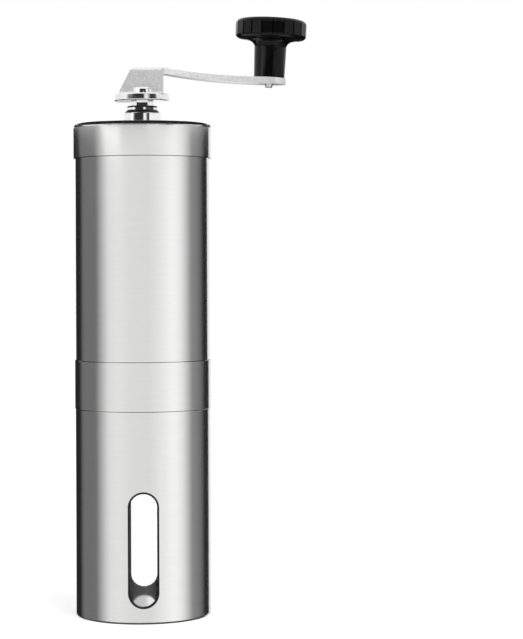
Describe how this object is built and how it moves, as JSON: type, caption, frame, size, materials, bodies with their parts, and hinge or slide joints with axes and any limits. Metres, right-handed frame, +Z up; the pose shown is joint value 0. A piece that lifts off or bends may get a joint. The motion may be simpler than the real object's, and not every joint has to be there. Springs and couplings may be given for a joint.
{
  "type": "hand crank coffee grinder",
  "caption": "Slim steel hand coffee grinder with windowed grounds cup, hopper, lid, bowed crank with black faceted knob, and conical ceramic burrs inside.",
  "frame": {"origin": "centre of the foot, on the surface that the cup stands on", "axes": "+Z up along the mill's axis, +X along the crank arm at rest, windows face -Y and +Y"},
  "size_m": [0.0852, 0.05, 0.2165],
  "materials": {
    "satin_steel": "satin brushed stainless steel",
    "polished_steel": "polished stainless steel",
    "blasted_steel": "bead blasted steel",
    "plain_steel": "turned steel",
    "dark_steel": "blackened spring steel",
    "knob_plastic": "black moulded plastic, semi-gloss",
    "housing_plastic": "black moulded plastic, matt",
    "washer_plastic": "black nylon",
    "clear_plastic": "clear plastic",
    "ceramic": "white fired ceramic",
    "silicone": "black silicone",
    "brass": "turned brass"
  },
  "bodies": {
    "cup": {"cup_shell": "satin_steel", "cup_floor": "satin_steel", "window_liner": "clear_plastic"},
    "hopper": {"hopper_tube": "satin_steel", "collar_band": "satin_steel", "burr_housing": "housing_plastic", "grip_ring": "silicone", "outer_burr": "ceramic", "burr_retainer": "housing_plastic", "retainer_screws": "plain_steel", "lower_bush": "brass", "upper_bush": "brass", "top_spider": "housing_plastic"},
    "lid": {"lid_shell": "satin_steel", "lid_bush": "polished_steel", "lid_nut": "plain_steel", "thrust_washer": "washer_plastic", "slip_washer": "polished_steel"},
    "crank": {"crank_spindle": "plain_steel", "lock_washer": "dark_steel", "jam_nut": "polished_steel", "crank_nut": "polished_steel", "crank_arm": "blasted_steel", "knob_pin": "plain_steel"},
    "knob": {"knob": "knob_plastic", "knob_cap": "knob_plastic"},
    "shaft": {"main_shaft": "plain_steel", "shaft_clip": "dark_steel", "spring_washer": "plain_steel", "burr_spring": "plain_steel"},
    "burr": {"inner_burr": "ceramic", "burr_core": "housing_plastic", "click_plate": "plain_steel"},
    "adjuster": {"adjuster_dial": "housing_plastic", "adjuster_nut": "brass"}
  },
  "joints": [
    {"name": "hopper_lift", "type": "slide", "parent": "cup", "child": "hopper", "axis": [0, 0, 1], "range_m": [0, 0.1]},
    {"name": "lid_lift", "type": "slide", "parent": "hopper", "child": "lid", "axis": [0, 0, 1], "range_m": [0, 0.06]},
    {"name": "crank_spin", "type": "hinge", "parent": "lid", "child": "crank", "pos_m": [0, 0, 0.18], "axis": [0, 0, 1], "continuous": true},
    {"name": "knob_spin", "type": "hinge", "parent": "crank", "child": "knob", "pos_m": [0.0463, 0, 0.1948], "axis": [0.0454, 0, 0.999], "continuous": true},
    {"name": "shaft_spin", "type": "hinge", "parent": "hopper", "child": "shaft", "pos_m": [0, 0, 0.12], "axis": [0, 0, 1], "continuous": true},
    {"name": "burr_slide", "type": "slide", "parent": "shaft", "child": "burr", "axis": [0, 0, 1], "range_m": [-0.0012, 0.0004], "deforming": ["burr_spring"]},
    {"name": "adjuster_turn", "type": "hinge", "parent": "burr", "child": "adjuster", "pos_m": [0, 0, 0.068], "axis": [0, 0, 1], "range_deg": [-550, 190]}
  ],
  "couplings": [
    {"joint": "shaft_spin", "follows": "crank_spin", "ratio": 1},
    {"joint": "adjuster_turn", "follows": "burr_slide", "rad_per_m": 7854}
  ]
}
